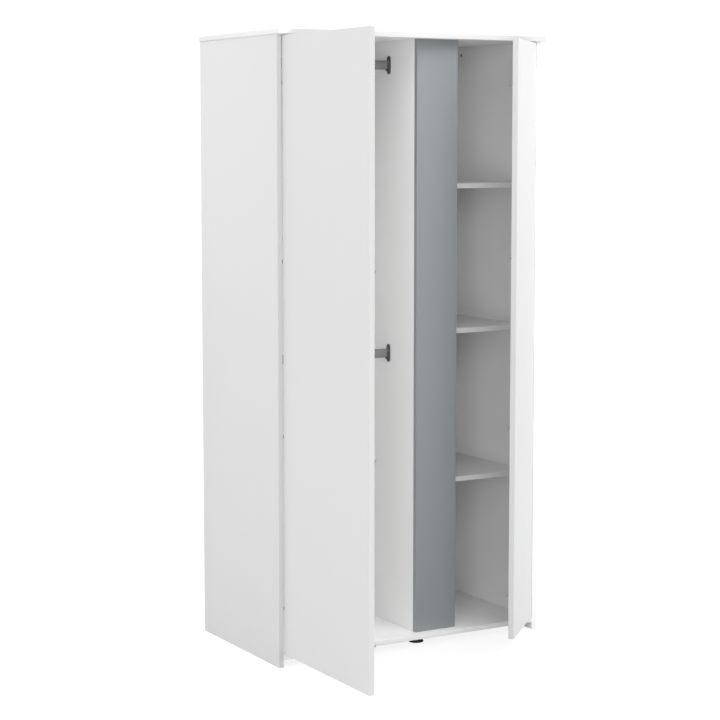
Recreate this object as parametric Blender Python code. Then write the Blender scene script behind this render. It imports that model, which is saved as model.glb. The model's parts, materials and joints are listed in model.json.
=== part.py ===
"""Two-door wardrobe with a recessed centre panel.

The carcass stands on its two side panels and on two round feet. A divider splits it into a wide
hanging compartment on the left and a shelved compartment on the right. A coloured panel stands in
front of the divider, and both doors close over its long edges, which leaves a finger gap behind
each door in place of a handle. Both doors are inset between the side panels and under the top.

Frame: metres, +Z up, +X to the viewer's right, -Y towards the viewer. The origin is on the floor,
midway between the side panels and midway between the open left door's free edge and the back.
The doors are modelled open, the left one at 90 degrees and the right one at 44 degrees.
"""

from math import cos, pi, radians, sin

import bmesh
import bpy
from mathutils import Matrix

# Driving dimensions
WIDTH = 0.988  # over the side panels
DEPTH = 0.547  # from the side panels' front edges to the back panels' rear faces
HEIGHT = 2.000
BOARD = 0.016  # side, top, bottom, divider and shelf boards
DOOR_BOARD = 0.018
BACK_BOARD = 0.003
EDGE_ROUND = 0.0006  # edge radius of every board
FIT = 0.0003  # gap between pieces that touch

TOP_OVERHANG = 0.021  # top panel in front of the side panels
TOP_SIDE_OVERHANG = 0.0025
PLINTH_GAP = 0.0235  # floor to the bottom panel's underside
BACK_SIDE_INSET = 0.001  # back panels inside the sides' outer faces
BACK_SEAM = 0.001  # between the two back panels

# Upright boards, measured from the left side panel's outer face and from the front edges
DIVIDER_LEFT = 0.525
CENTRE_PANEL_RIGHT = 0.679
CENTRE_PANEL_FRONT = 0.030
CENTRE_PANEL_BACK = 0.048

# Doors
DOOR_SIDE_GAP = 0.0020
DOOR_BOTTOM = 0.0425
DOOR_TOP = 1.9805
LEFT_DOOR_WIDTH = 0.529
RIGHT_DOOR_WIDTH = 0.308
LEFT_DOOR_OPEN = 90.0  # degrees
RIGHT_DOOR_OPEN = 44.0

# Shelves
SHELF_CENTRES = {"lower": 0.536, "middle": 1.033, "upper": 1.511}
SHELF_FRONT = 0.050
PIN_RADIUS = 0.0024
PIN_HEAD_RADIUS = 0.0040
PIN_HOLE_RADIUS = 0.0028
PIN_DEPTH = 0.008
PIN_REACH = 0.009
PIN_INSETS = {"front": 0.087, "rear": 0.483}

# Hanging rails
RAIL_CENTRES = {"lower": 0.954, "upper": 1.906}
RAIL_INSET = 0.207
RAIL_HALF = (0.0075, 0.015)  # half depth, half height of the oval tube
RAIL_WALL = 0.0012
SOCKET_FLANGE_HALF = (0.011, 0.030)
SOCKET_COLLAR_HALF = (0.0105, 0.018)
SOCKET_BORE_HALF = (0.0079, 0.0154)
SOCKET_FLANGE = 0.003
SOCKET_REACH = 0.009
SOCKET_OPEN_ABOVE = 0.007  # the collar is open above this height, so the rail drops in

# Feet
FOOT_CENTRE = 0.546
FOOT_INSETS = {"front": 0.062, "rear": 0.485}
FOOT_BASE_RADIUS = 0.0250
FOOT_STEM_RADIUS = 0.0175
FOOT_HEAD_RADIUS = 0.0240
FOOT_BASE_HEIGHT = 0.0050
FOOT_HEAD_HEIGHT = 0.0040
FOOT_SLOPE = 0.0015  # chamfers, and the run from the base and the head into the stem

# Cam locks in the right side panel's inner face
CAM_HEIGHT = 1.957
CAM_INSETS = {"front": 0.070, "rear": 0.458}
CAM_RADIUS = 0.0075
CAM_DEPTH = 0.012

# Hinges and buffers share four heights
HARDWARE_HEIGHTS = (0.185, 0.735, 1.285, 1.835)
CUP_INSET = 0.0225  # cup centre from the door's hinge edge
CUP_RADIUS = 0.0172
CUP_RECESS_RADIUS = 0.0176
CUP_RECESS_DEPTH = 0.0115
CUP_DEPTH = 0.0110
CUP_WALL = 0.0017
CUP_FLANGE_HALF = (0.0195, 0.0300)
CUP_FLANGE = 0.0010
ARM_HALF_WIDTH = 0.008
ARM_NOSE = 0.0203  # behind the side panels' front edges, just clear of a closed door
ARM_NOSE_INNER = 0.0020  # the nose's span inward of the hinge axis
ARM_NOSE_OUTER = 0.0090
ARM_CREST = 0.0120  # the arm's inner face, inward of the hinge axis
ARM_HEEL = 0.0300  # where the arm's outer face leaves the side panel
ARM_CREST_START = 0.0400
ARM_CREST_END = 0.0780
ARM_TAIL = 0.0840
ARM_SLOPE = 0.0040  # length of the arm's sloping ends
PLATE_HALF_HEIGHT = 0.026
PLATE_LENGTH = 0.0240
PLATE_THICKNESS = 0.0020
PLATE_INSET = 0.055  # plate centre from the side panels' front edges
BUFFER_INSET = 0.012
BUFFER_RADIUS = 0.0040
BUFFER_CHAMFER = 0.0012

# Worked out from the above
LEFT = -WIDTH / 2
RIGHT = WIDTH / 2
FRONT = (LEFT_DOOR_WIDTH - DEPTH) / 2
BACK = FRONT + DEPTH
CARCASS_BACK = BACK - BACK_BOARD - FIT
TOP_UNDERSIDE = HEIGHT - BOARD
FLOOR_TOP = PLINTH_GAP + BOARD
LEFT_AXIS = LEFT + BOARD + DOOR_SIDE_GAP
RIGHT_AXIS = RIGHT - BOARD - DOOR_SIDE_GAP


# Materials


def make_material(name, colour, roughness, metallic=0.0):
    """A plain Principled material."""
    made = bpy.data.materials.new(name)
    made.use_nodes = True
    made.diffuse_color = (*colour, 1.0)
    shader = made.node_tree.nodes["Principled BSDF"]
    shader.inputs["Base Color"].default_value = (*colour, 1.0)
    shader.inputs["Roughness"].default_value = roughness
    shader.inputs["Metallic"].default_value = metallic
    return made


# Mesh helpers


def add_object(name, mesh, material, location, rotation=(0.0, 0.0, 0.0), parent=None):
    """Places a mesh as one named piece."""
    mesh.materials.append(material)
    piece = bpy.data.objects.new(name, mesh)
    bpy.context.scene.collection.objects.link(piece)
    piece.location = location
    piece.rotation_euler = rotation
    piece.parent = parent
    return piece


def to_mesh(shape, name):
    """Turns a bmesh into a mesh with its faces pointing out."""
    bmesh.ops.recalc_face_normals(shape, faces=shape.faces)
    mesh = bpy.data.meshes.new(name)
    shape.to_mesh(mesh)
    shape.free()
    return mesh


def box_mesh(name, size):
    """A box centred on its origin."""
    shape = bmesh.new()
    bmesh.ops.create_cube(shape, size=1.0)
    bmesh.ops.scale(shape, vec=size, verts=shape.verts)
    return to_mesh(shape, name)


def add_board(name, low, high, material, parent=None):
    """A board with finely rounded edges between two corners."""
    size = [b - a for a, b in zip(low, high)]
    centre = [(a + b) / 2 for a, b in zip(low, high)]
    board = add_object(name, box_mesh(name, size), material, centre, parent=parent)
    edges = board.modifiers.new("edges", "BEVEL")
    edges.width = EDGE_ROUND
    edges.segments = 2
    edges.limit_method = "ANGLE"
    return board


def oval_ring(half_width, half_height, segments):
    """Points round an upright oval with half-round ends, or a circle if both halves are equal."""
    reach = half_height - half_width
    points = []
    for end in (1, -1):
        for step in range(segments // 2):
            angle = (step + 0.5) * 2 * pi / segments
            x = end * half_width * cos(angle)
            y = end * (half_width * sin(angle) + reach)
            points.append((x, y))
    return points


def stacked_mesh(name, sections, segments, ring_shaped=False):
    """A solid through ovals stacked along Z, each given as (z, half width, half height).

    A ring-shaped solid joins its last oval to its first, and any other one has flat ends.
    """
    shape = bmesh.new()
    rings = []
    for z, half_width, half_height in sections:
        outline = oval_ring(half_width, half_height, segments)
        rings.append([shape.verts.new((x, y, z)) for x, y in outline])
    pairs = list(zip(rings, rings[1:]))
    if ring_shaped:
        pairs.append((rings[-1], rings[0]))
    for lower, upper in pairs:
        for k in range(segments):
            after = (k + 1) % segments
            shape.faces.new((lower[k], lower[after], upper[after], upper[k]))
    if not ring_shaped:
        shape.faces.new(rings[0])
        shape.faces.new(rings[-1])
    mesh = to_mesh(shape, name)
    mesh.shade_smooth()
    mesh.set_sharp_from_angle(angle=radians(40))
    return mesh


def extruded_mesh(name, outline, half_width):
    """An outline in the XY plane, extruded the same way up and down."""
    shape = bmesh.new()
    base = [shape.verts.new((x, y, -half_width)) for x, y in outline]
    face = shape.faces.new(base)
    grown = bmesh.ops.extrude_face_region(shape, geom=[face])
    moved = [item for item in grown["geom"] if isinstance(item, bmesh.types.BMVert)]
    bmesh.ops.translate(shape, vec=(0.0, 0.0, 2 * half_width), verts=moved)
    return to_mesh(shape, name)


def combine(piece, tool, operation):
    """Adds or cuts a hidden tool object on a piece."""
    tool.hide_render = True
    tool.display_type = "WIRE"
    change = piece.modifiers.new(tool.name, "BOOLEAN")
    change.operation = operation
    change.solver = "EXACT"
    change.object = tool


def drill(piece, name, location, rotation, radius, depth, parent=None):
    """Cuts a round hole that is centred on the given point and reaches depth each way."""
    sections = [(-depth, radius, radius), (depth, radius, radius)]
    mesh = stacked_mesh(name, sections, 20)
    tool = add_object(name, mesh, DRILL_MATERIAL, location, rotation, parent)
    combine(piece, tool, "DIFFERENCE")


# Axis of a stacked solid turned to point along +X, -X or +Y; its ovals stay upright
TOWARDS_RIGHT = (radians(90), 0.0, radians(90))
TOWARDS_LEFT = (radians(90), 0.0, radians(-90))
TOWARDS_BACK = (radians(90), 0.0, radians(180))


# Carcass


def build_carcass(white, accent, hardboard):
    """Side, top, bottom, divider, centre and back panels."""
    low_y = FRONT
    high_y = CARCASS_BACK
    inner_left = LEFT + BOARD
    inner_right = RIGHT - BOARD
    divider = LEFT + DIVIDER_LEFT
    upright_low = FLOOR_TOP + FIT
    upright_high = TOP_UNDERSIDE - FIT
    panels = {
        "left_side_panel": add_board(
            "left_side_panel",
            (LEFT, low_y, 0.0),
            (inner_left, high_y, upright_high),
            white,
        ),
        "right_side_panel": add_board(
            "right_side_panel",
            (inner_right, low_y, 0.0),
            (RIGHT, high_y, upright_high),
            white,
        ),
        "divider_panel": add_board(
            "divider_panel",
            (divider, FRONT + CENTRE_PANEL_BACK + FIT, upright_low),
            (divider + BOARD, high_y, upright_high),
            white,
        ),
    }
    add_board(
        "top_panel",
        (LEFT - TOP_SIDE_OVERHANG, FRONT - TOP_OVERHANG, TOP_UNDERSIDE),
        (RIGHT + TOP_SIDE_OVERHANG, BACK, HEIGHT),
        white,
    )
    add_board(
        "bottom_panel",
        (inner_left + FIT, low_y, PLINTH_GAP),
        (inner_right - FIT, high_y, FLOOR_TOP),
        white,
    )
    add_board(
        "centre_panel",
        (divider, FRONT + CENTRE_PANEL_FRONT, upright_low),
        (LEFT + CENTRE_PANEL_RIGHT, FRONT + CENTRE_PANEL_BACK, upright_high),
        accent,
    )
    seam = divider + BOARD / 2
    back_spans = {
        "back_panel_left": (LEFT + BACK_SIDE_INSET, seam - BACK_SEAM / 2),
        "back_panel_right": (seam + BACK_SEAM / 2, RIGHT - BACK_SIDE_INSET),
    }
    for name, (low_x, high_x) in back_spans.items():
        back = add_board(
            name,
            (low_x, BACK - BACK_BOARD, PLINTH_GAP),
            (high_x, BACK, upright_high),
            hardboard,
        )
        back.modifiers["edges"].width = EDGE_ROUND / 2
    return panels


# Shelves and their pins


def build_shelves(panels, white, steel):
    """Three shelves, each on four pins in drilled holes."""
    low_x = LEFT + DIVIDER_LEFT + BOARD
    high_x = RIGHT - BOARD
    sides = {
        "left": (panels["divider_panel"], low_x, TOWARDS_RIGHT),
        "right": (panels["right_side_panel"], high_x, TOWARDS_LEFT),
    }
    pin_sections = [
        (-PIN_DEPTH, PIN_RADIUS, PIN_RADIUS),
        (FIT, PIN_RADIUS, PIN_RADIUS),
        (FIT, PIN_HEAD_RADIUS, PIN_HEAD_RADIUS),
        (PIN_REACH, PIN_HEAD_RADIUS, PIN_HEAD_RADIUS),
    ]
    for level, centre in SHELF_CENTRES.items():
        underside = centre - BOARD / 2
        add_board(
            f"{level}_shelf",
            (low_x + FIT, FRONT + SHELF_FRONT, underside),
            (high_x - FIT, CARCASS_BACK - FIT, underside + BOARD),
            white,
        )
        pin_z = underside - FIT - PIN_HEAD_RADIUS
        for side, (panel, face_x, turn) in sides.items():
            for place, inset in PIN_INSETS.items():
                name = f"{level}_shelf_pin_{side}_{place}"
                where = (face_x, FRONT + inset, pin_z)
                depth = PIN_DEPTH + FIT
                drill(panel, f"{name}_hole", where, turn, PIN_HOLE_RADIUS, depth)
                add_object(name, stacked_mesh(name, pin_sections, 12), steel, where, turn)


# Hanging rails


def build_rails(metal, charcoal):
    """Two oval tubes across the hanging compartment, each in two flanged sockets."""
    low_x = LEFT + BOARD
    high_x = LEFT + DIVIDER_LEFT
    base = FIT + SOCKET_FLANGE
    socket_sections = [
        (FIT, *SOCKET_FLANGE_HALF),
        (base, *SOCKET_FLANGE_HALF),
        (base, *SOCKET_COLLAR_HALF),
        (SOCKET_REACH, *SOCKET_COLLAR_HALF),
        (SOCKET_REACH, *SOCKET_BORE_HALF),
        (base, *SOCKET_BORE_HALF),
    ]
    cut_size = (4 * SOCKET_COLLAR_HALF[0], SOCKET_COLLAR_HALF[1], SOCKET_REACH)
    cut_centre = (
        0.0,
        SOCKET_OPEN_ABOVE + SOCKET_COLLAR_HALF[1] / 2,
        base + SOCKET_REACH / 2,
    )
    half_length = (high_x - low_x) / 2 - base - FIT
    bore_half = [half - RAIL_WALL for half in RAIL_HALF]
    rail_sections = [
        (-half_length, *RAIL_HALF),
        (half_length, *RAIL_HALF),
        (half_length, *bore_half),
        (-half_length, *bore_half),
    ]
    for level, centre in RAIL_CENTRES.items():
        y = FRONT + RAIL_INSET
        name = f"{level}_hanging_rail"
        mesh = stacked_mesh(name, rail_sections, 24, ring_shaped=True)
        middle = ((low_x + high_x) / 2, y, centre)
        add_object(name, mesh, metal, middle, TOWARDS_RIGHT)
        for side, x, turn in (("left", low_x, TOWARDS_RIGHT), ("right", high_x, TOWARDS_LEFT)):
            name = f"{level}_rail_socket_{side}"
            place = (x, y, centre)
            mesh = stacked_mesh(name, socket_sections, 24)
            socket = add_object(name, mesh, charcoal, place, turn)
            cut_mesh = box_mesh(f"{name}_cut", cut_size)
            cut_mesh.transform(Matrix.Translation(cut_centre))
            tool = add_object(f"{name}_cut", cut_mesh, charcoal, place, turn)
            combine(socket, tool, "DIFFERENCE")


# Feet


def build_feet(black):
    """Two round feet that carry the bottom panel under the divider."""
    top = PLINTH_GAP - FIT
    profile = [
        (0.0, FOOT_BASE_RADIUS - FOOT_SLOPE),
        (FOOT_SLOPE, FOOT_BASE_RADIUS),
        (FOOT_BASE_HEIGHT, FOOT_BASE_RADIUS),
        (FOOT_BASE_HEIGHT + FOOT_SLOPE, FOOT_STEM_RADIUS),
        (top - FOOT_HEAD_HEIGHT - FOOT_SLOPE, FOOT_STEM_RADIUS),
        (top - FOOT_HEAD_HEIGHT, FOOT_HEAD_RADIUS),
        (top, FOOT_HEAD_RADIUS),
    ]
    sections = [(z, radius, radius) for z, radius in profile]
    for place, inset in FOOT_INSETS.items():
        name = f"{place}_foot"
        where = (LEFT + FOOT_CENTRE, FRONT + inset, 0.0)
        add_object(name, stacked_mesh(name, sections, 28), black, where)


# Cam locks


def build_cams(panels, zinc):
    """Cams that pull the top panel down on the right side panel."""
    sections = [
        (-CAM_DEPTH, CAM_RADIUS - FIT, CAM_RADIUS - FIT),
        (-FIT, CAM_RADIUS - FIT, CAM_RADIUS - FIT),
    ]
    for place, inset in CAM_INSETS.items():
        name = f"cam_lock_{place}"
        where = (RIGHT - BOARD, FRONT + inset, CAM_HEIGHT)
        depth = CAM_DEPTH + FIT
        drill(
            panels["right_side_panel"],
            f"{name}_hole",
            where,
            TOWARDS_LEFT,
            CAM_RADIUS,
            depth,
        )
        add_object(name, stacked_mesh(name, sections, 20), zinc, where, TOWARDS_LEFT)


# Doors. Each is drawn closed in its axis empty's space: X runs from the hinge edge to the free
# edge (mirrored by inward = -1 on the right door), Y from the outer face to the inner face.


def add_hinge_cup(name, door, axis, inward, height, steel):
    """A cup with its oval flange, sunk in the door's inner face."""
    place = (inward * CUP_INSET, DOOR_BOARD, height)
    drill(
        door,
        f"{name}_recess",
        place,
        TOWARDS_BACK,
        CUP_RECESS_RADIUS,
        CUP_RECESS_DEPTH,
        axis,
    )
    inner = CUP_RADIUS - CUP_WALL
    sections = [
        (-CUP_DEPTH, CUP_RADIUS, CUP_RADIUS),
        (FIT, CUP_RADIUS, CUP_RADIUS),
        (FIT, *CUP_FLANGE_HALF),
        (FIT + CUP_FLANGE, *CUP_FLANGE_HALF),
        (FIT + CUP_FLANGE, inner, inner),
        (-CUP_DEPTH + CUP_WALL, inner, inner),
    ]
    add_object(name, stacked_mesh(name, sections, 20), steel, place, TOWARDS_BACK, axis)


def add_hinge_arm(name, hinge_x, inward, height, steel):
    """An arm on its mounting plate, screwed to the side panel's inner face.

    The outline runs in plan, from the plate on the side panel to the nose behind the door.
    """
    wall = -DOOR_SIDE_GAP + FIT
    outline = [
        (wall, ARM_HEEL + ARM_SLOPE),
        (0.0, ARM_HEEL),
        (ARM_NOSE_INNER, ARM_NOSE),
        (ARM_NOSE_OUTER, ARM_NOSE),
        (ARM_CREST, ARM_CREST_START),
        (ARM_CREST, ARM_CREST_END),
        (ARM_CREST - ARM_SLOPE / 2, ARM_TAIL),
        (0.0, ARM_TAIL),
        (wall, ARM_TAIL - ARM_SLOPE),
    ]
    points = [(inward * x, y) for x, y in outline]
    place = (hinge_x, FRONT, height)
    arm = add_object(name, extruded_mesh(name, points, ARM_HALF_WIDTH), steel, place)
    plate_name = f"{name}_plate"
    plate_size = (PLATE_THICKNESS, PLATE_LENGTH, 2 * PLATE_HALF_HEIGHT)
    plate_mesh = box_mesh(plate_name, plate_size)
    plate_x = hinge_x + inward * (wall + PLATE_THICKNESS / 2)
    plate_place = (plate_x, FRONT + PLATE_INSET, height)
    plate = add_object(plate_name, plate_mesh, steel, plate_place)
    combine(arm, plate, "UNION")


def add_buffer(name, axis, inward, door_width, height, plastic):
    """A peg near the free edge that meets the centre panel when the door is closed."""
    reach = CENTRE_PANEL_FRONT - DOOR_BOARD - FIT
    tip = BUFFER_RADIUS - BUFFER_CHAMFER
    sections = [
        (FIT, BUFFER_RADIUS, BUFFER_RADIUS),
        (reach - BUFFER_CHAMFER, BUFFER_RADIUS, BUFFER_RADIUS),
        (reach, tip, tip),
    ]
    place = (inward * (door_width - BUFFER_INSET), DOOR_BOARD, height)
    mesh = stacked_mesh(name, sections, 16)
    add_object(name, mesh, plastic, place, TOWARDS_BACK, axis)


def build_door(side, hinge_x, inward, width, open_angle, white, steel, plastic):
    """One door with its hinges and buffers, turned open about its hinge axis."""
    axis = bpy.data.objects.new(f"{side}_door_axis", None)
    bpy.context.scene.collection.objects.link(axis)
    axis.location = (hinge_x, FRONT, 0.0)
    axis.rotation_euler = (0.0, 0.0, radians(open_angle))
    edges = sorted((0.0, inward * width))
    door = add_board(
        f"{side}_door",
        (edges[0], 0.0, DOOR_BOTTOM),
        (edges[1], DOOR_BOARD, DOOR_TOP),
        white,
        parent=axis,
    )
    for number, height in enumerate(HARDWARE_HEIGHTS, start=1):
        add_hinge_arm(f"{side}_hinge_arm_{number}", hinge_x, inward, height, steel)
        add_hinge_cup(f"{side}_hinge_cup_{number}", door, axis, inward, height, steel)
        add_buffer(f"{side}_door_buffer_{number}", axis, inward, width, height, plastic)


# Build

for old in list(bpy.data.objects):
    bpy.data.objects.remove(old)

DRILL_MATERIAL = make_material("drill", (0.8, 0.1, 0.1), 0.5)
melamine = make_material("white_melamine", (0.86, 0.86, 0.86), 0.45)
blue_grey = make_material("blue_grey_melamine", (0.33, 0.35, 0.37), 0.45)
hardboard_white = make_material("white_hardboard", (0.80, 0.80, 0.79), 0.55)
nickel = make_material("nickel_steel", (0.55, 0.55, 0.56), 0.30, 1.0)
rail_steel = make_material("rail_steel", (0.42, 0.42, 0.43), 0.35, 1.0)
charcoal_plastic = make_material("charcoal_plastic", (0.07, 0.07, 0.075), 0.50)
black_plastic = make_material("black_plastic", (0.02, 0.02, 0.02), 0.50)
clear_plastic = make_material("buffer_plastic", (0.60, 0.60, 0.60), 0.40)
cam_zinc = make_material("cam_zinc", (0.20, 0.20, 0.20), 0.45, 1.0)

carcass = build_carcass(melamine, blue_grey, hardboard_white)
build_shelves(carcass, melamine, nickel)
build_rails(rail_steel, charcoal_plastic)
build_feet(black_plastic)
build_cams(carcass, cam_zinc)
build_door(
    "left", LEFT_AXIS, 1, LEFT_DOOR_WIDTH, -LEFT_DOOR_OPEN, melamine, nickel, clear_plastic
)
build_door(
    "right", RIGHT_AXIS, -1, RIGHT_DOOR_WIDTH, RIGHT_DOOR_OPEN, melamine, nickel, clear_plastic
)
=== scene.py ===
"""Looks of the two-door wardrobe: its boards, hinges, rails and small fittings in fine detail,
their materials, a pale floor, soft light and the camera. Lengths are in metres."""

import json
from math import cos, pi, radians, sin

import bmesh
import bpy
from mathutils import Matrix, Vector

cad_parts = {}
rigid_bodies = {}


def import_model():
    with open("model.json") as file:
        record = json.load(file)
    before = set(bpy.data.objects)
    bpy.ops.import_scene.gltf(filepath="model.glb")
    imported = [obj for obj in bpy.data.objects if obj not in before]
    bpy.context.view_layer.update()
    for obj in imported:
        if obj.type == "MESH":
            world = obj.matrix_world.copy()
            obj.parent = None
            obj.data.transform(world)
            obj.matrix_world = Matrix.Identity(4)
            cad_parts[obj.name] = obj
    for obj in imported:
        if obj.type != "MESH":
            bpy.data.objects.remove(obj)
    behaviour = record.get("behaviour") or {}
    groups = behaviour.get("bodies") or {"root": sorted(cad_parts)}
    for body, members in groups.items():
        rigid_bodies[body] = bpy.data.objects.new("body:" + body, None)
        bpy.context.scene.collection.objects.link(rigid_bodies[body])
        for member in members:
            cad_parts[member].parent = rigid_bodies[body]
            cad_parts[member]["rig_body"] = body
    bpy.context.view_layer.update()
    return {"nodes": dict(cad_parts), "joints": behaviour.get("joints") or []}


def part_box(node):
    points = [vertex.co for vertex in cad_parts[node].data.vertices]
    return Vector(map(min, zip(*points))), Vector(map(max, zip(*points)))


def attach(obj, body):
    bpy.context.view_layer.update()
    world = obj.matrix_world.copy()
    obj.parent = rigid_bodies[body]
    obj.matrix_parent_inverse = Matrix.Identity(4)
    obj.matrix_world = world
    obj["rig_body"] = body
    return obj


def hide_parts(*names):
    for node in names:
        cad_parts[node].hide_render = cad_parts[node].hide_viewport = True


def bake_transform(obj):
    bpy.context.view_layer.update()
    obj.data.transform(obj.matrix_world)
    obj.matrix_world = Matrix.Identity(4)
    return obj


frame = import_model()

# Linear colours
WHITE = (0.86, 0.86, 0.86)
BLUE_GREY = (0.218, 0.237, 0.248)
HARDBOARD = (0.80, 0.795, 0.78)

FIT = 0.0003  # gap that the CAD keeps between pieces that touch
SMOOTH_BELOW = radians(34)


# Node helpers


class Material:
    """A material under construction, with short calls for its nodes."""

    def __init__(self, name, colour, roughness, metallic=0.0):
        self.made = bpy.data.materials.new(name)
        self.made.use_nodes = True
        self.made.diffuse_color = (*colour, 1.0)
        self.tree = self.made.node_tree
        self.shader = self.tree.nodes["Principled BSDF"]
        self.set("Base Color", (*colour, 1.0))
        self.set("Roughness", roughness)
        self.set("Metallic", metallic)

    def set(self, socket, value):
        self.shader.inputs[socket].default_value = value

    def node(self, kind, **settings):
        made = self.tree.nodes.new(kind)
        for key, value in settings.items():
            setattr(made, key, value)
        return made

    def link(self, source, target):
        self.tree.links.new(source, target)

    def feed(self, target, value):
        """Links a socket, or sets a plain value."""
        if isinstance(value, bpy.types.NodeSocket):
            self.link(value, target)
        else:
            target.default_value = value

    def math(self, operation, first, second=0.0):
        made = self.node("ShaderNodeMath", operation=operation)
        self.feed(made.inputs[0], first)
        self.feed(made.inputs[1], second)
        return made.outputs[0]

    def span(self, value, low, high, to_low, to_high):
        """Maps a value from one range to another, clamped."""
        made = self.node("ShaderNodeMapRange", clamp=True)
        for socket, number in zip(made.inputs, (value, low, high, to_low, to_high)):
            self.feed(socket, number)
        return made.outputs[0]

    def mix(self, factor, first, second):
        """Mixes two colours."""
        made = self.node("ShaderNodeMix", data_type="RGBA")
        self.feed(made.inputs[0], factor)
        self.feed(made.inputs[6], first)
        self.feed(made.inputs[7], second)
        return made.outputs[2]

    def place(self, centre=(0.0, 0.0, 0.0), turn=0.0, stretch=(1.0, 1.0, 1.0)):
        """Object coordinates about a centre, turned back about Z by turn, then stretched."""
        source = self.node("ShaderNodeTexCoord")
        moved = self.node("ShaderNodeMapping", vector_type="TEXTURE")
        moved.inputs["Location"].default_value = centre
        moved.inputs["Rotation"].default_value = (0.0, 0.0, turn)
        self.link(source.outputs["Object"], moved.inputs["Vector"])
        scaled = self.node("ShaderNodeVectorMath", operation="MULTIPLY")
        self.link(moved.outputs[0], scaled.inputs[0])
        scaled.inputs[1].default_value = stretch
        return scaled.outputs[0]

    def noise(self, where, scale, detail=2.0, roughness=0.5):
        made = self.node("ShaderNodeTexNoise")
        self.link(where, made.inputs["Vector"])
        made.inputs["Scale"].default_value = scale
        made.inputs["Detail"].default_value = detail
        made.inputs["Roughness"].default_value = roughness
        return made.outputs["Fac"]

    def bump(self, height, distance, strength=1.0):
        made = self.node("ShaderNodeBump")
        made.inputs["Strength"].default_value = strength
        made.inputs["Distance"].default_value = distance
        self.link(height, made.inputs["Height"])
        self.link(made.outputs[0], self.shader.inputs["Normal"])


def shade(colour, amount):
    return (*(channel * amount for channel in colour), 1.0)


# Board materials

BAND = 0.0008  # thickness of the edge banding
SEAM = 0.00012  # half width of the joint line beside it
SEAM_TONE = 0.80  # tone of the joint line, as a share of the banding's
BAND_ROUGHNESS = 0.34
FACE_ROUGHNESS = (0.38, 0.46)  # least and most, in smears
BOARD_RELIEF = 0.00003


def board_material(name, low, high, colour, turn=0.0, edge_tone_and_painted_shade=1.01, where_to=None):
    """Melamine-faced board with edge banding, its joint line and a fine moulded texture; on some
    boards the banding's tone is darkened as painted shade.

    low and high are the board's corners in its own upright frame. For a board that stands at an
    angle, turn is that frame's angle about Z and where_to the matrix that puts it in place.
    """
    size = high - low
    half = size / 2
    made = Material(name, colour, 0.42)
    made.set("Specular IOR Level", 0.40)
    centre = (low + high) / 2
    if where_to is not None:
        centre = where_to @ centre
    where = made.place(centre, turn)
    apart = made.node("ShaderNodeSeparateXYZ")
    made.link(where, apart.inputs[0])
    thin = min(range(3), key=lambda axis: size[axis])
    depths = []
    for axis in range(3):
        if axis != thin:
            reach = made.math("ABSOLUTE", apart.outputs[axis])
            depths.append(made.math("SUBTRACT", reach, half[axis] - BAND))
    beyond = made.math("MAXIMUM", depths[0], depths[1])
    band = made.math("GREATER_THAN", beyond, 0.0)
    seam = made.span(made.math("ABSOLUTE", beyond), SEAM * 0.4, SEAM, 1.0, 0.0)
    cloud = made.noise(where, 3.0, 3.0)
    grain = made.noise(where, 1400.0, 2.0, 0.6)
    peel = made.noise(where, 260.0, 2.0)
    tone = made.mix(cloud, shade(colour, 0.99), shade(colour, 1.01))
    # Banding colour and its joint line; a tone below 1 here is painted shade of the open doors.
    banded = made.mix(band, tone, shade(colour, edge_tone_and_painted_shade))
    lined = made.mix(seam, banded, shade(colour, edge_tone_and_painted_shade * SEAM_TONE))
    made.link(lined, made.shader.inputs["Base Color"])
    smear = made.noise(where, 11.0, 4.0, 0.65)
    face_gloss = made.span(smear, 0.3, 0.7, *FACE_ROUGHNESS)
    gloss = made.node("ShaderNodeMix", data_type="FLOAT")
    made.link(band, gloss.inputs[0])
    made.link(face_gloss, gloss.inputs[2])
    gloss.inputs[3].default_value = BAND_ROUGHNESS
    made.link(gloss.outputs[0], made.shader.inputs["Roughness"])
    relief = made.math("ADD", made.math("MULTIPLY", grain, 0.5), peel)
    sunk = made.math("SUBTRACT", relief, made.math("MULTIPLY", seam, 3.0))
    made.bump(sunk, BOARD_RELIEF, 0.6)
    return made.made


def hardboard_material(name):
    """Lacquered hardboard: a soft fibre mottle under a matt coat."""
    made = Material(name, HARDBOARD, 0.55)
    made.set("Specular IOR Level", 0.30)
    where = made.place(stretch=(1.0, 1.0, 0.45))
    fibre = made.noise(where, 420.0, 4.0, 0.7)
    cloud = made.noise(where, 5.0, 3.0)
    speckled = made.mix(fibre, shade(HARDBOARD, 0.965), shade(HARDBOARD, 1.02))
    cloudy = made.mix(made.span(cloud, 0.3, 0.7, 0.0, 0.35), speckled, shade(HARDBOARD, 0.97))
    made.link(cloudy, made.shader.inputs["Base Color"])
    made.link(made.span(fibre, 0.3, 0.7, 0.50, 0.64), made.shader.inputs["Roughness"])
    made.bump(fibre, 0.00005, 0.6)
    return made.made


# Metal and plastic materials

LINE_SPREAD = 0.16  # how far the drawn lines move a metal's roughness
STAIN_SPREAD = 0.10  # how far its stains do


def steel_material(name, colour, roughness, stretch):
    """Drawn or stamped metal: fine lines along one axis and faint stains."""
    made = Material(name, colour, roughness, 1.0)
    lines = made.noise(made.place(stretch=stretch), 900.0, 3.0, 0.6)
    stains = made.noise(made.place(), 40.0, 3.0, 0.6)
    tone = made.mix(lines, shade(colour, 0.86), shade(colour, 1.10))
    made.link(made.mix(stains, tone, shade(colour, 0.94)), made.shader.inputs["Base Color"])
    along = made.math("MULTIPLY", lines, LINE_SPREAD)
    spotted = made.math("MULTIPLY", stains, STAIN_SPREAD)
    spread = made.math("ADD", along, spotted)
    least = roughness - (LINE_SPREAD + STAIN_SPREAD) / 2
    made.link(made.math("ADD", spread, least), made.shader.inputs["Roughness"])
    made.bump(lines, 0.00002, 0.5)
    return made.made


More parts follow.
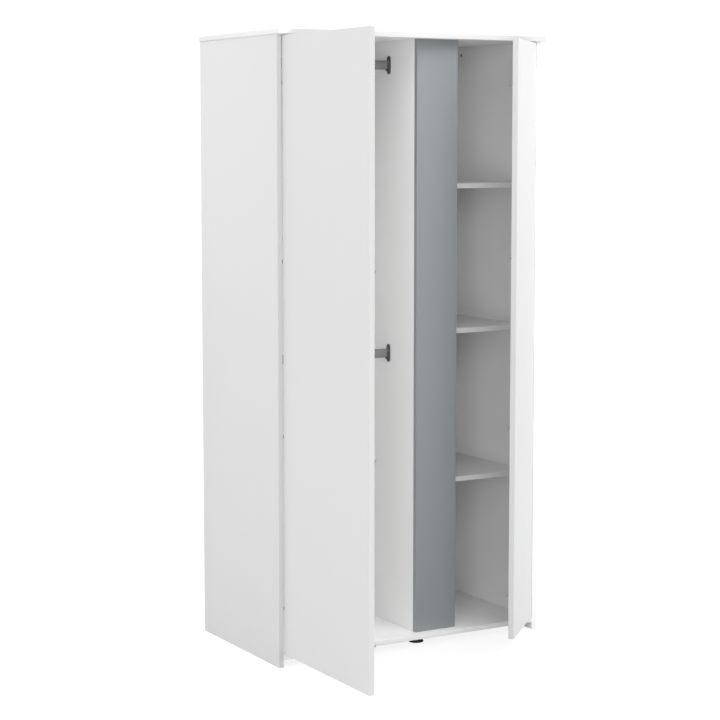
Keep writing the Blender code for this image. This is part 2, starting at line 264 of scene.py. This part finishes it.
def plastic_material(name, colour, roughness, worn=1.25):
    """Moulded plastic: spark-eroded grain, with lighter rubbed patches."""
    made = Material(name, colour, roughness)
    made.set("Specular IOR Level", 0.45)
    where = made.place()
    grain = made.noise(where, 1800.0, 2.0, 0.5)
    rubbed = made.span(made.noise(where, 90.0, 4.0, 0.7), 0.48, 0.72, 0.0, 1.0)
    tone = made.mix(rubbed, shade(colour, 1.0), shade(colour, worn))
    made.link(tone, made.shader.inputs["Base Color"])
    polished = made.span(rubbed, 0.0, 1.0, roughness, roughness - 0.1)
    made.link(polished, made.shader.inputs["Roughness"])
    made.bump(grain, 0.00004, 0.6)
    return made.made


# Mesh helpers


def new_shape():
    return bmesh.new()


def join(shape, part, matrix=Matrix.Identity(4)):
    """Adds a finished part to a piece, moved by a matrix."""
    part.transform(matrix)
    mesh = bpy.data.meshes.new("part")
    part.to_mesh(mesh)
    part.free()
    shape.from_mesh(mesh)
    bpy.data.meshes.remove(mesh)


def face_outwards(shape):
    """Turns the faces of every closed shell outwards."""
    bmesh.ops.recalc_face_normals(shape, faces=shape.faces)
    seen = set()
    for first in shape.faces:
        if first in seen:
            continue
        shell = [first]
        seen.add(first)
        for face in shell:
            for edge in face.edges:
                for neighbour in edge.link_faces:
                    if neighbour not in seen:
                        seen.add(neighbour)
                        shell.append(neighbour)
        start = first.verts[0].co
        volume = sum(
            (face.calc_center_median() - start).dot(face.normal) * face.calc_area()
            for face in shell
        )
        if volume < 0.0:
            bmesh.ops.reverse_faces(shape, faces=shell)


def add_piece(name, shape, material, body, matrix=Matrix.Identity(4), replaced=()):
    """Makes one smooth-shaded piece that rides on a body, or on no body when body is None."""
    shape.transform(matrix)
    face_outwards(shape)
    mesh = bpy.data.meshes.new(name)
    shape.to_mesh(mesh)
    shape.free()
    mesh.materials.append(material)
    mesh.shade_smooth()
    mesh.set_sharp_from_angle(angle=SMOOTH_BELOW)
    piece = bpy.data.objects.new(name, mesh)
    bpy.context.scene.collection.objects.link(piece)
    if body is not None:
        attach(piece, body)
    if replaced:
        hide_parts(*replaced)
    return piece


def facing(direction):
    """Turns local Z to a level direction and keeps local Y upright."""
    forward = Vector(direction).normalized()
    up = Vector((0.0, 0.0, 1.0))
    across = up.cross(forward)
    return Matrix((across, up, forward)).transposed().to_4x4()


def at(x, y, z):
    return Matrix.Translation((x, y, z))


def round_edges(part, rounding, segments):
    bmesh.ops.bevel(
        part,
        geom=part.edges[:],
        offset=rounding,
        segments=segments,
        profile=0.5,
        affect="EDGES",
    )


def circle(part, radius, z, segments):
    """New vertices round a circle about Z."""
    angles = [2 * pi * step / segments for step in range(segments)]
    return [part.verts.new((radius * cos(a), radius * sin(a), z)) for a in angles]


def bridge(part, lower, upper):
    """Joins two rings of as many vertices with a band of faces."""
    for k in range(len(lower)):
        after = (k + 1) % len(lower)
        part.faces.new((lower[k], lower[after], upper[after], upper[k]))


def block(low, high, rounding):
    """A box with rounded edges between two corners."""
    low = Vector(low)
    high = Vector(high)
    part = new_shape()
    size = Matrix.Diagonal((*(high - low), 1.0))
    bmesh.ops.create_cube(part, size=1.0, matrix=Matrix.Translation((low + high) / 2) @ size)
    round_edges(part, rounding, 3)
    return part


def turned(profile, segments=32):
    """A solid turned about Z from (radius, z) points, whose two ends lie on the axis."""
    part = new_shape()
    rings = []
    for radius, z in profile:
        if radius == 0.0:
            rings.append([part.verts.new((0.0, 0.0, z))])
        else:
            rings.append(circle(part, radius, z, segments))
    for first, second in zip(rings, rings[1:]):
        for k in range(segments):
            after = (k + 1) % segments
            corners = [first[k % len(first)], first[after % len(first)]]
            corners += [second[after % len(second)], second[k % len(second)]]
            part.faces.new(list(dict.fromkeys(corners)))
    return part


def oval_ring(half_width, half_height, segments):
    """Points round an upright oval with half-round ends, or a circle if both halves are equal."""
    points = []
    for end in (1, -1):
        for step in range(segments // 2):
            angle = (step + 0.5) * 2 * pi / segments
            x = end * half_width * cos(angle)
            y = end * (half_width * sin(angle) + half_height - half_width)
            points.append((x, y))
    return points


def lofted(sections, segments=40, ring_shaped=False):
    """A solid through ovals along Z, each (z, half width, half height), closed or ring-shaped."""
    part = new_shape()
    rings = []
    for z, half_width, half_height in sections:
        outline = oval_ring(half_width, half_height, segments)
        rings.append([part.verts.new((x, y, z)) for x, y in outline])
    pairs = list(zip(rings, rings[1:]))
    if ring_shaped:
        pairs.append((rings[-1], rings[0]))
    for lower, upper in pairs:
        bridge(part, lower, upper)
    if not ring_shaped:
        part.faces.new(rings[0])
        part.faces.new(rings[-1])
    return part


def prism(outline, low, high, rounding=0.0):
    """An outline in the XY plane, extruded from low to high along Z, with rounded edges."""
    part = new_shape()
    base, top = ([part.verts.new((x, y, z)) for x, y in outline] for z in (low, high))
    bridge(part, base, top)
    part.faces.new(base)
    part.faces.new(top)
    bmesh.ops.recalc_face_normals(part, faces=part.faces)
    if rounding:
        round_edges(part, rounding, 2)
    return part


def screw(radius, height):
    """A pan head with a cross recess, standing on the XY plane and facing +Z."""
    arm = 0.55 * radius
    web = 0.15 * radius
    part = new_shape()
    rings = []
    for share, z in ((1.0, 0.0), (1.0, 0.45 * height), (0.93, 0.75 * height), (0.78, height)):
        rings.append(circle(part, share * radius, z, 24))
    for lower, upper in zip(rings, rings[1:]):
        bridge(part, lower, upper)
    part.faces.new(rings[0])
    quarter = [(web, arm), (web, web), (arm, web)]
    cross = []
    for turn in range(4):
        cosine, sine = ((1, 0), (0, -1), (-1, 0), (0, 1))[turn]
        cross += [(x * cosine - y * sine, x * sine + y * cosine) for x, y in quarter]
    rim = [part.verts.new((x, y, height)) for x, y in cross]
    floor = [part.verts.new((0.8 * x, 0.8 * y, 0.25 * height)) for x, y in cross]
    edges = []
    for ring in (rings[-1], rim):
        for k, vertex in enumerate(ring):
            after = ring[(k + 1) % len(ring)]
            edges.append(part.edges.get((vertex, after)) or part.edges.new((vertex, after)))
    bmesh.ops.triangle_fill(part, use_beauty=True, edges=edges)
    bridge(part, rim, floor)
    part.faces.new(floor)
    return part


def local_box(node, matrix):
    """Lowest and highest corners of a CAD node, seen in a moved frame."""
    inverse = matrix.inverted()
    points = [inverse @ vertex.co for vertex in frame["nodes"][node].data.vertices]
    low = Vector([min(point[axis] for point in points) for axis in range(3)])
    high = Vector([max(point[axis] for point in points) for axis in range(3)])
    return low, high


# The two sides: X runs inward from the hinge axis and Y to the back, in the carcass's frame and
# in the door's own frame, where the door is closed and its outer face is at Y = 0.

JOINTS = {joint["name"]: joint for joint in frame["joints"]}


class Side:
    """One hinge line with its door."""

    def __init__(self, name, inward):
        joint = JOINTS[f"{name}_door_hinge"]
        x, y, _ = joint["pos_m"]
        closed = -joint["range_deg"][0]
        self.name = name
        self.body = f"{name}_door"
        self.open = radians(closed)
        self.turn = radians(closed) * joint["axis"][2]
        mirror = Matrix.Diagonal((inward, 1.0, 1.0, 1.0))
        self.hinge = Matrix.Translation((x, y, 0.0))
        self.swing = self.hinge @ Matrix.Rotation(self.turn, 4, "Z")
        self.carcass = self.hinge @ mirror
        self.door = self.swing @ mirror


SIDES = (Side("left", 1.0), Side("right", -1.0))
INWARD = facing((1.0, 0.0, 0.0))  # local Z along a side's X
REARWARD = facing((0.0, 1.0, 0.0))  # local Z along a side's Y


# Boards

BOARD_ROUND = 0.0004
# Banding tone as a share of the face colour; below 1 on the sides and bottom it is painted shade
# of the open doors.
EDGE_TONES_AND_PAINTED_SHADE = {"side": 0.92, "bottom": 0.87, "shelf": 1.01, "top": 1.01, "divider": 1.01}
TOUCHING = {  # how far each board grows at its low and high corners to meet its neighbours
    "left_side_panel": ((0, 0, 0), (0, 0, FIT)),
    "right_side_panel": ((0, 0, 0), (0, 0, FIT)),
    "top_panel": ((0, 0, 0), (0, 0, 0)),
    "bottom_panel": ((FIT, 0, 0), (FIT, 0, 0)),
    "divider_panel": ((0, FIT, FIT), (0, 0, FIT)),
    "lower_shelf": ((FIT, 0, 0), (FIT, FIT, 0)),
    "middle_shelf": ((FIT, 0, 0), (FIT, FIT, 0)),
    "upper_shelf": ((FIT, 0, 0), (FIT, FIT, 0)),
    "centre_panel": ((0, 0, FIT), (0, 0, FIT)),
    "back_panel_left": ((0, FIT, 0), (0, 0, FIT)),
    "back_panel_right": ((0, FIT, 0), (0, 0, FIT)),
}


def build_boards():
    """Every fixed board, closed up against its neighbours."""
    hardboard = hardboard_material("white_hardboard")
    for node, (grow_low, grow_high) in TOUCHING.items():
        low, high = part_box(node)
        low = Vector(low) - Vector(grow_low)
        high = Vector(high) + Vector(grow_high)
        name = node.replace("panel", "board").replace("shelf", "shelf_board")
        rounding = BOARD_ROUND
        if node.startswith("back"):
            material = hardboard
            rounding = BOARD_ROUND / 2
        elif node == "centre_panel":
            material = board_material(name, low, high, BLUE_GREY, edge_tone_and_painted_shade=1.22)
        else:
            edge_tone_and_painted_shade = next(tone for word, tone in EDGE_TONES_AND_PAINTED_SHADE.items() if word in node)
            material = board_material(name, low, high, WHITE, edge_tone_and_painted_shade=edge_tone_and_painted_shade)
        add_piece(name, block(low, high, rounding), material, "carcass", replaced=(node,))


def dress_doors():
    """The doors keep their CAD shape, with the cups' round recesses."""
    for side in SIDES:
        node = f"{side.name}_door"
        low, high = local_box(node, side.swing)
        door = frame["nodes"][node]
        door.data.materials.clear()
        door.data.materials.append(
            board_material(node, low, high, WHITE, side.turn, where_to=side.swing)
        )


# Hinges. A side's arm, links and cup are drawn about the hinge axis at the hinge's height.

ARM_HALF = 0.008
SHEET = 0.0014  # thickness of the arm's folded sheet
ARM_OUTLINE = [
    (0.0006, 0.0310),
    (0.0020, 0.0205),
    (0.0088, 0.0205),
    (0.0120, 0.0400),
    (0.0120, 0.0780),
    (0.0100, 0.0838),
    (0.0006, 0.0838),
]
WEB_OUTLINE = [
    (0.0074, 0.0205),
    (0.0088, 0.0205),
    (0.0120, 0.0400),
    (0.0120, 0.0780),
    (0.0100, 0.0838),
    (0.0086, 0.0832),
    (0.0106, 0.0776),
    (0.0106, 0.0404),
]
PLATE_CENTRE = 0.055  # of the mounting plate, behind the hinge axis
WING_SCREW = 0.016  # screws above and below the arm
WING_THICKNESS = 0.0020
ARM_SCREWS = ((0.0490, 0.0030, 0.0010), (0.0700, 0.0042, 0.0014))  # Y, radius, height
SINK = 0.0001  # how deep a screw's head is sunk
LINK_HALF = 0.0055
LINK_THICKNESS = 0.0016
LINK_NOSE = (0.0080, 0.0225)  # where the link leaves the arm
LINK_CUP = (0.0225, 0.0145)  # where it enters the cup, with the door closed
LINK_STEPS = 12
LINK_BOW = 0.0035  # how far the strap bows with the door closed
BOW_GROWTH = 0.0065  # and how much more at a right angle
CUP_SCREW = 0.0235  # screws above and below the cup


def arm_shape(wall):
    """Mounting plate with its two screws, and the folded arm with its adjusting screws."""
    shape = new_shape()
    wing = lofted(
        [
            (0.0, 0.0096, 0.0256),
            (0.0004, 0.0100, 0.0260),
            (0.0016, 0.0100, 0.0260),
            (WING_THICKNESS, 0.0096, 0.0256),
        ]
    )
    join(shape, wing, at(wall, PLATE_CENTRE, 0.0) @ INWARD)
    join(shape, block((wall, 0.0380, -0.0062), (0.0050, 0.0836, 0.0062), 0.0006))
    for height in (-WING_SCREW, WING_SCREW):
        place = at(wall + WING_THICKNESS - SINK, PLATE_CENTRE, height) @ INWARD
        join(shape, screw(0.0038, 0.0019), place)
    for low in (-ARM_HALF, ARM_HALF - SHEET):
        join(shape, prism(ARM_OUTLINE, low, low + SHEET, 0.0003))
    join(shape, prism(WEB_OUTLINE, -ARM_HALF + 0.0002, ARM_HALF - 0.0002, 0.0003))
    top = max(x for x, _ in ARM_OUTLINE)
    for y, radius, height in ARM_SCREWS:
        join(shape, screw(radius, height), at(top - SINK, y, 0.0) @ INWARD)
    return shape


def cup_shape():
    """The round cup with its eared flange and two screws; Z points out of the door's back."""
    shape = new_shape()
    cup = turned(
        [
            (0.0, -0.0092),
            (0.0132, -0.0092),
            (0.0148, -0.0084),
            (0.0156, -0.0068),
            (0.0156, 0.0008),
            (0.0160, 0.0016),
            (0.0168, 0.0018),
            (0.0174, 0.0014),
            (0.0171, 0.0002),
            (0.0171, -0.0106),
            (0.0, -0.0106),
        ],
        40,
    )
    join(shape, cup)
    flange = lofted(
        [
            (FIT, 0.0191, 0.0296),
            (0.0007, 0.0195, 0.0300),
            (0.0010, 0.0195, 0.0300),
            (0.0013, 0.0191, 0.0296),
            (0.0013, 0.0166, 0.0166),
            (FIT, 0.0166, 0.0166),
        ],
        48,
        ring_shaped=True,
    )
    join(shape, flange)
    for height in (-CUP_SCREW, CUP_SCREW):
        join(shape, screw(0.0038, 0.0016), at(0.0, height, 0.0011))
    return shape


def link_shape(opening):
    """The strap from the arm's nose into the cup, bowed round the corner of the open door."""
    nose = Vector(LINK_NOSE)
    x, y = LINK_CUP
    cup = Vector((x * cos(opening) + y * sin(opening), y * cos(opening) - x * sin(opening)))
    span = cup - nose
    across = Vector((-span.y, span.x)).normalized()
    bow = LINK_BOW + BOW_GROWTH * opening / radians(90)
    line = []
    for step in range(LINK_STEPS + 1):
        share = step / LINK_STEPS
        line.append(nose + span * share + across * bow * sin(pi * share))
    near = []
    far = []
    for k, point in enumerate(line):
        along = line[min(k + 1, LINK_STEPS)] - line[max(k - 1, 0)]
        side = Vector((-along.y, along.x)).normalized() * LINK_THICKNESS / 2
        near.append(point - side)
        far.append(point + side)
    return prism([*near, *reversed(far)], -LINK_HALF, LINK_HALF), nose, cup


def build_hinges():
    """Arm, link and cup of every hinge."""
    nickel = steel_material("nickel", (0.50, 0.50, 0.50), 0.34, (1.0, 1.0, 0.05))
    zinc = steel_material("zinc", (0.42, 0.42, 0.43), 0.40, (1.0, 0.05, 1.0))
    for side in SIDES:
        arms = [node for node in frame["nodes"] if node.startswith(f"{side.name}_hinge_arm")]
        for arm in sorted(arms):
            number = arm[-1]
            low, high = local_box(arm, side.carcass)
            height = (low.z + high.z) / 2
            fixed = side.carcass @ at(0.0, 0.0, height)
            name = f"{side.name}_hinge"
            add_piece(
                f"{name}_bracket_{number}",
                arm_shape(low.x),
                nickel,
                "carcass",
                fixed,
                (arm,),
            )
            cup = f"{name}_cup_{number}"
            cup_low, cup_high = local_box(cup, side.door)
            centre = (cup_low + cup_high) / 2
            back = local_box(f"{side.name}_door", side.door)[1].y
            place = side.door @ at(centre.x, back, centre.z) @ REARWARD
            add_piece(
                f"{name}_pot_{number}",
                cup_shape(),
                nickel,
                side.body,
                place,
                (cup,),
            )
            strap, nose, end = link_shape(side.open)
            link = add_piece(f"{name}_link_{number}", strap, zinc, None, fixed)
            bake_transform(link)


# Buffers

BUFFER_STEM = 0.88  # of the flange's radius
DOME_STEP = 15  # degrees


def build_buffers():
    """Domed plastic pegs behind the doors' free edges."""
    plastic = plastic_material("buffer_plastic", (0.42, 0.42, 0.425), 0.38, 1.15)
    for side in SIDES:
        buffers = [node for node in frame["nodes"] if node.startswith(f"{side.name}_door_buffer")]
        for node in sorted(buffers):
            low, high = local_box(node, side.door)
            flange = (high.z - low.z) / 2
            radius = flange * BUFFER_STEM
            reach = high.y - low.y + FIT
            angles = [radians(angle) for angle in range(0, 90, DOME_STEP)]
            dome = [(radius * cos(a), reach - radius * 0.5 * (1 - sin(a))) for a in angles]
            profile = [
                (0.0, 0.0),
                (flange, 0.0),
                (flange, 0.0005),
                (flange * 0.92, 0.0009),
                (radius * 0.84, 0.0011),
                (radius * 0.84, reach * 0.45),
                (radius * 0.97, reach * 0.5),
                *dome,
                (0.0, reach),
            ]
            centre = (low + high) / 2
            place = side.door @ at(centre.x, low.y - FIT, centre.z) @ REARWARD
            name = f"{side.name}_bumper_{node[-1]}"
            add_piece(name, turned(profile), plastic, side.body, place, (node,))


# Rails and their sockets

RAIL_WALL = 0.0012
COLLAR_REACH = 0.0075
COLLAR_TOP = 0.007
COLLAR_WALL = 0.0024
COLLAR_STEPS = 14  # round its lower half
COLLAR_PLAY = 0.0003  # between the rail and its saddle
SOCKET_FACE = 0.0028  # height of the flange's face
SOCKET_SCREW = 0.0235  # screws above and below the rail


def collar_shape(inner_width, inner_height):
    """The open-topped saddle that the rail drops into, with a flared lip at its foot."""
    reach = inner_height - inner_width
    sections = [(0.0, 0.0010, 0.0), (0.0014, 0.0, 0.0), (COLLAR_REACH - 0.0008, 0.0, 0.0022)]
    sections.append((COLLAR_REACH, -0.0006, 0.0022))
    part = new_shape()
    rings = []
    for z, flare, lip in sections:
        outline = []
        for wall in (COLLAR_WALL + flare, 0.0):
            width = inner_width + wall
            points = [(width, COLLAR_TOP)]
            for step in range(COLLAR_STEPS + 1):
                angle = -pi * step / COLLAR_STEPS
                drop = lip * max(0.0, -sin(angle)) ** 3
                x = width * cos(angle)
                y = width * sin(angle) - reach - (drop if wall else 0.0)
                points.append((x, y))
            points.append((-width, COLLAR_TOP))
            outline += points if wall else reversed(points)
        rings.append([part.verts.new((x, y, z)) for x, y in outline])
    for lower, upper in zip(rings, rings[1:]):
        bridge(part, lower, upper)
    count = len(rings[0])
    for ring in (rings[0], rings[-1]):
        for k in range(count // 2 - 1):
            part.faces.new((ring[k], ring[k + 1], ring[count - 2 - k], ring[count - 1 - k]))
    return part


def socket_shape(rail_half_width, rail_half_height):
    """Oval flange with rounded edges, two screws and the rail's saddle; Z points to the rail."""
    shape = new_shape()
    flange = lofted(
        [
            (0.0, 0.0108, 0.0298),
            (0.0014, 0.0110, 0.0300),
            (0.0022, 0.0107, 0.0297),
            (SOCKET_FACE, 0.0099, 0.0289),
            (0.0030, 0.0088, 0.0278),
        ]
    )
    join(shape, flange)
    collar = collar_shape(rail_half_width + COLLAR_PLAY, rail_half_height + COLLAR_PLAY)
    join(shape, collar, at(0.0, 0.0, SOCKET_FACE))
    for height in (-SOCKET_SCREW, SOCKET_SCREW):
        join(shape, screw(0.0036, 0.0010), at(0.0, height, 0.0029))
    return shape


def build_rails():
    steel = steel_material("rail_steel", (0.30, 0.30, 0.305), 0.36, (0.02, 1.0, 1.0))
    charcoal = plastic_material("charcoal_plastic", (0.062, 0.062, 0.064), 0.45)
    for level in ("lower", "upper"):
        rail = f"{level}_hanging_rail"
        low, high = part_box(rail)
        centre = (low + high) / 2
        half = (high - low) / 2
        inner = (half.y - RAIL_WALL, half.z - RAIL_WALL)
        tube = lofted(
            [
                (-half.x, half.y - FIT, half.z - FIT),
                (-half.x + FIT, half.y, half.z),
                (half.x - FIT, half.y, half.z),
                (half.x, half.y - FIT, half.z - FIT),
                (half.x, *inner),
                (-half.x, *inner),
            ],
            48,
            ring_shaped=True,
        )
        place = Matrix.Translation(centre) @ INWARD
        add_piece(f"{level}_rail_tube", tube, steel, "carcass", place, (rail,))
        for end, direction in (("left", 1.0), ("right", -1.0)):
            node = f"{level}_rail_socket_{end}"
            low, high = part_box(node)
            wall = low.x - FIT if end == "left" else high.x + FIT
            place = at(wall, centre.y, centre.z) @ facing((direction, 0.0, 0.0))
            name = f"{level}_rail_holder_{end}"
            shape = socket_shape(half.y, half.z)
            add_piece(name, shape, charcoal, "carcass", place, (node,))


# Feet, shelf pins, cams and nails

FOOT_RIBS = 8
PIN_REACH = 0.0090  # how far a shelf pin stands out of the wall


def build_feet():
    """Moulded feet with a rounded tread, a ribbed stem and a round head."""
    black = plastic_material("black_plastic", (0.022, 0.022, 0.023), 0.48, 1.5)
    for place in ("front", "rear"):
        node = f"{place}_foot"
        low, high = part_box(node)
        centre = (low + high) / 2
        tread = (high.x - low.x) / 2
        height = high.z - low.z + FIT
        profile = [
            (0.0, 0.0),
            (tread - 0.0022, 0.0),
            (tread - 0.0008, 0.0004),
            (tread - 0.0001, 0.0014),
            (tread, 0.0030),
            (tread - 0.0004, 0.0044),
            (tread - 0.0020, 0.0052),
            (0.0196, 0.0058),
            (0.0178, 0.0068),
            (0.0172, 0.0086),
            (0.0172, height - 0.0080),
            (0.0180, height - 0.0062),
            (0.0216, height - 0.0052),
            (0.0236, height - 0.0044),
            (0.0240, height - 0.0034),
            (0.0240, height - 0.0006),
            (0.0236, height),
            (0.0, height),
        ]
        shape = new_shape()
        join(shape, turned(profile, 48))
        for step in range(FOOT_RIBS):
            rib = block((0.0165, -0.0008, 0.0056), (0.0205, 0.0008, height - 0.0046), 0.0003)
            join(shape, rib, Matrix.Rotation(2 * pi * step / FOOT_RIBS, 4, "Z"))
        where = at(centre.x, centre.y, low.z)
        name = f"{place}_foot_moulding"
        add_piece(name, shape, black, "carcass", where, (node,))


def build_pins():
    """Steel shelf pins with a collar and a rounded nose."""
    steel = steel_material("pin_steel", (0.50, 0.50, 0.50), 0.32, (1.0, 1.0, 0.1))
    nodes = [node for node in frame["nodes"] if "_shelf_pin_" in node]
    for node in sorted(nodes):
        low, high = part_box(node)
        centre = (low + high) / 2
        radius = (high.z - low.z) / 2
        tail = PIN_REACH - (high.x - low.x)
        profile = [
            (0.0, tail),
            (0.0024, tail),
            (0.0024, 0.0),
            (radius, 0.0),
            (radius, 0.0012),
            (radius * 0.82, 0.0016),
            (radius * 0.82, PIN_REACH - 0.0012),
            (radius * 0.6, PIN_REACH - 0.0003),
            (0.0, PIN_REACH),
        ]
        inward = 1.0 if "_pin_left_" in node else -1.0
        wall = high.x - PIN_REACH if inward > 0 else low.x + PIN_REACH
        place = at(wall, centre.y, centre.z) @ facing((inward, 0.0, 0.0))
        name = node.replace("_shelf_pin_", "_shelf_stud_")
        add_piece(name, turned(profile, 20), steel, "carcass", place, (node,))


def build_cams():
    """Zinc cams with a cross recess, almost flush with the side's inner face."""
    zinc = steel_material("cam_zinc", (0.12, 0.12, 0.12), 0.45, (1.0, 1.0, 1.0))
    for place in ("front", "rear"):
        node = f"cam_lock_{place}"
        low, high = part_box(node)
        centre = (low + high) / 2
        radius = (high.z - low.z) / 2
        depth = high.x - low.x
        shape = new_shape()
        body = turned(
            [
                (0.0, -depth),
                (radius, -depth),
                (radius, -0.0006),
                (radius - 0.0005, 0.0),
                (0.0, 0.0),
            ]
        )
        join(shape, body)
        join(shape, screw(radius * 0.72, 0.0008))
        where = at(low.x, centre.y, centre.z) @ facing((-1.0, 0.0, 0.0))
        add_piece(f"cam_disc_{place}", shape, zinc, "carcass", where, (node,))


NAIL_PITCH = 0.13
NAIL_INSET = 0.007  # from a back panel's edge


def nail_line(first, last):
    """Evenly spaced points between two ends, both included."""
    count = max(1, round((last - first).length / NAIL_PITCH))
    return [first.lerp(last, step / count) for step in range(count + 1)]


def build_nails():
    """Flat nail heads round both back panels, and into the divider between them."""
    steel = steel_material("nail_steel", (0.55, 0.55, 0.55), 0.38, (1.0, 1.0, 1.0))
    head = [(0.0, 0.0), (0.0026, 0.0), (0.0026, 0.0004), (0.0020, 0.0008), (0.0, 0.0009)]
    for panel in ("left", "right"):
        low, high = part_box(f"back_panel_{panel}")
        left = low.x + NAIL_INSET
        right = high.x - NAIL_INSET
        base = low.z + NAIL_INSET
        top = high.z + FIT - NAIL_INSET
        outline = ((left, base), (right, base), (right, top), (left, top))
        corners = [Vector((x, high.y, z)) for x, z in outline]
        shape = new_shape()
        for k, corner in enumerate(corners):
            for point in nail_line(corner, corners[(k + 1) % 4])[:-1]:
                join(shape, turned(head, 12), Matrix.Translation(point) @ REARWARD)
        add_piece(f"back_nails_{panel}", shape, steel, "carcass")


# Stage

# Depth, albedo and glow of two discs: the camera sees the first, light bounces off the second
FLOORS = {"floor": (0.0, 0.20, 0.86), "floor_bounce": (0.001, 0.60, 0.0)}
FLOOR_RADIUS = 40.0


def build_floor():
    """A pale floor, as a glowing disc over a duller one."""
    for name, (depth, albedo, glow) in FLOORS.items():
        shape = new_shape()
        bmesh.ops.create_circle(shape, cap_ends=True, segments=64, radius=FLOOR_RADIUS)
        mesh = bpy.data.meshes.new(name)
        shape.to_mesh(mesh)
        shape.free()
        floor = bpy.data.objects.new(name, mesh)
        bpy.context.scene.collection.objects.link(floor)
        floor.location.z = -depth
        made = Material(name, (albedo, albedo, albedo), 0.9)
        made.set("Specular IOR Level", 0.0)
        made.set("Emission Color", (1.0, 1.0, 1.0, 1.0))
        made.set("Emission Strength", glow)
        mesh.materials.append(made.made)
        seen = name == "floor"
        floor.visible_camera = seen
        floor.visible_diffuse = not seen
        floor.visible_glossy = not seen
        floor.visible_shadow = not seen


# Soft lamps: place, aim, width and height, watts, then which pieces they light. Every fill lights
# only the carcass; a lamp skips, or keeps to, pieces with these words in their names.
LAMPS = {
    "key": (
        (3.2, -1.6, 2.8),
        (0.2, 0.0, 1.3),
        (1.6, 1.6),
        31.0,
        {"skips": ("right_side_board", "top_board")},
    ),
    "fill_front": (
        (-1.8, -3.2, 0.3),
        (0.2, 0.2, 0.4),
        (1.8, 2.6),
        78.0,
        {"carcass_only": True, "skips": ("left_side_board", "shelf_board")},
    ),
    "fill_top": (
        (0.2, -1.8, 3.8),
        (0.1, 0.0, 1.0),
        (2.0, 2.0),
        51.0,
        {"carcass_only": True, "skips": ("left_side_board", "shelf_board", "top_board")},
    ),
    "fill_right": (
        (-1.25, -3.2, 2.3),
        (0.2, 0.2, 1.3),
        (0.75, 1.1),
        36.0,
        {"carcass_only": True, "keeps": ("right_side_board",)},
    ),
}

SURROUND = 1.22  # strength of the white surround at the left horizon
OVERHEAD = 0.82  # its share straight above
RIGHT_HAND = 0.84  # its share at the right
FADES = ((2, 0.0, OVERHEAD), (0, -0.1, RIGHT_HAND))  # axis, where it starts, share at its end


def build_surround():
    """A white surround, weaker above and at the right; the camera sees it as plain white."""
    world = bpy.data.worlds.new("studio")
    bpy.context.scene.world = world
    world.use_nodes = True
    tree = world.node_tree
    sky = tree.nodes["Background"]
    sky.inputs["Color"].default_value = (1.0, 1.0, 1.0, 1.0)
    direction = tree.nodes.new("ShaderNodeTexCoord")
    apart = tree.nodes.new("ShaderNodeSeparateXYZ")
    tree.links.new(direction.outputs["Generated"], apart.inputs[0])
    strength = None
    for axis, start, share in FADES:
        fade = tree.nodes.new("ShaderNodeMapRange")
        tree.links.new(apart.outputs[axis], fade.inputs[0])
        for socket, number in zip(fade.inputs[1:5], (start, 1.0, 1.0, share)):
            socket.default_value = number
        product = tree.nodes.new("ShaderNodeMath")
        product.operation = "MULTIPLY"
        tree.links.new(fade.outputs[0], product.inputs[0])
        product.inputs[1].default_value = SURROUND
        if strength is not None:
            tree.links.new(strength, product.inputs[1])
        strength = product.outputs[0]
    ray = tree.nodes.new("ShaderNodeLightPath")
    seen = tree.nodes.new("ShaderNodeMath")
    seen.operation = "MAXIMUM"
    tree.links.new(strength, seen.inputs[0])
    tree.links.new(ray.outputs["Is Camera Ray"], seen.inputs[1])
    tree.links.new(seen.outputs[0], sky.inputs["Strength"])


def build_lamps():
    """A soft key from the right, and the fills."""
    pieces = [piece for piece in bpy.context.scene.objects if piece.type == "MESH"]
    for name, (where, aim, extent, power, choice) in LAMPS.items():
        light = bpy.data.lights.new(name, "AREA")
        light.shape = "RECTANGLE"
        light.size, light.size_y = extent
        light.energy = power
        lamp = bpy.data.objects.new(name, light)
        bpy.context.scene.collection.objects.link(lamp)
        lamp.location = where
        towards = Vector(aim) - Vector(where)
        lamp.rotation_euler = towards.to_track_quat("-Z", "Y").to_euler()
        lit = bpy.data.collections.new(f"lit_by_{name}")
        for piece in pieces:
            fixed = piece.get("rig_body") == "carcass"
            skipped = any(word in piece.name for word in choice.get("skips", ()))
            kept = any(word in piece.name for word in choice.get("keeps", (piece.name,)))
            if kept and not skipped and (fixed or not choice.get("carcass_only")):
                lit.objects.link(piece)
        lamp.light_linking.receiver_collection = lit


def build_camera():
    camera = bpy.data.cameras.new("camera")
    camera.lens = 95.544
    camera.sensor_width = 36.0
    camera.shift_y = -0.03
    camera.clip_end = 100.0
    holder = bpy.data.objects.new("camera", camera)
    bpy.context.scene.collection.objects.link(holder)
    holder.location = (-3.2364, -5.2408, 1.6562)
    holder.rotation_euler = (radians(90 - 5.884), 0.0, radians(-30.133))
    bpy.context.scene.camera = holder


build_boards()
dress_doors()
build_hinges()
build_buffers()
build_rails()
build_feet()
build_pins()
build_cams()
build_nails()
build_floor()
build_surround()
build_lamps()
build_camera()
bpy.context.scene.view_settings.view_transform = "Standard"
